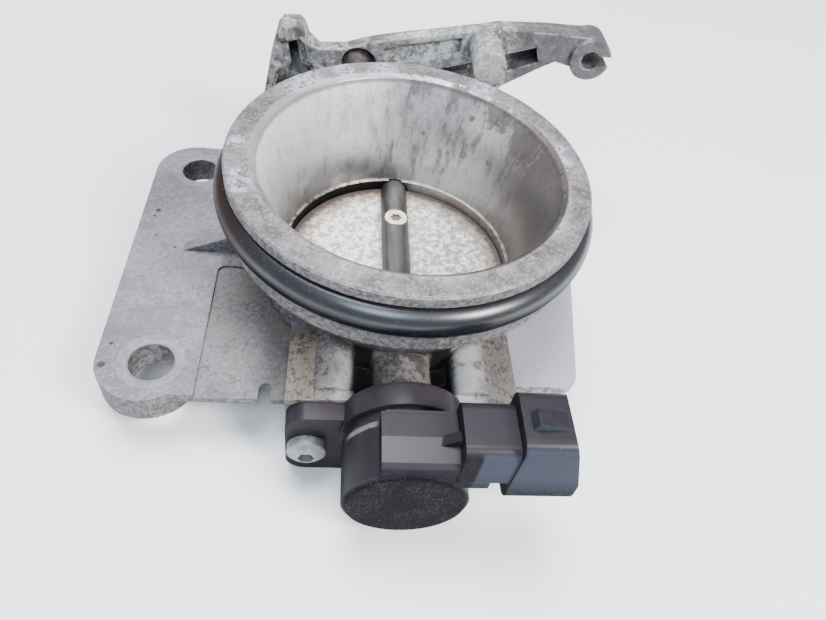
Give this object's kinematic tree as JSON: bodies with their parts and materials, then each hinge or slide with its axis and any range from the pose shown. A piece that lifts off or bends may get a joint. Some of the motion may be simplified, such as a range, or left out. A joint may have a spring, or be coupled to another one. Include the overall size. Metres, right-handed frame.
{
  "type": "throttle body",
  "caption": "Cable-operated engine throttle body with a flared, sealed air inlet, a butterfly plate on a sprung shaft, a rotary position sensor and a cast cable bracket.",
  "frame": {"origin": "centre of the throttle bore on the manifold face", "axes": "+Z along the bore to the air inlet, +Y along the throttle shaft from the sensor to the lever, +X to the sensor's plug and the cable eye"},
  "size_m": [0.1344, 0.1485, 0.0603],
  "materials": {
    "cast_aluminium": "weathered casting, machined faces",
    "seal_rubber": "smooth black rubber",
    "bearing_bronze": "sintered",
    "shaft_steel": "dark satin",
    "plate_aluminium": "stained sheet",
    "yellow_zinc": "yellow plated",
    "black_plastic": "moulded, dusty",
    "zinc_steel": "dull zinc",
    "white_nylon": "natural nylon",
    "contact_brass": "stamped",
    "track_board": "printed board",
    "bracket_aluminium": "rough casting",
    "lever_steel": "yellow passivated sheet and hub",
    "spring_steel": "drawn wire"
  },
  "bodies": {
    "housing": {"body_casting": "cast_aluminium", "inlet_seal": "seal_rubber", "front_bearing": "bearing_bronze", "rear_bearing": "bearing_bronze", "front_shaft_seal": "seal_rubber", "rear_shaft_seal": "seal_rubber", "sensor_base": "black_plastic", "sensor_housing": "black_plastic", "sensor_seal": "seal_rubber", "sensor_sleeves": "zinc_steel", "sensor_screws": "zinc_steel", "sensor_track": "track_board", "sensor_terminals": "contact_brass", "cable_bracket": "bracket_aluminium", "bracket_bolts": "zinc_steel", "bracket_pin": "shaft_steel", "return_spring": "spring_steel", "spring_bush": "white_nylon", "idle_stop_screw": "zinc_steel", "idle_stop_locknut": "zinc_steel"},
    "throttle": {"throttle_shaft": "shaft_steel", "butterfly_plate": "plate_aluminium", "butterfly_screws": "yellow_zinc", "sensor_rotor": "white_nylon", "sensor_wiper": "contact_brass", "throttle_lever": "lever_steel", "lever_washer": "zinc_steel", "lever_nut": "zinc_steel"}
  },
  "joints": [
    {"name": "throttle_spindle", "type": "hinge", "parent": "housing", "child": "throttle", "pos_m": [0, 0, 0.0097], "axis": [0, 1, 0], "range_deg": [0, 84], "stiffness_Nm_per_rad": 0.12, "springref_deg": -57.3, "deforming": ["return_spring"]}
  ]
}
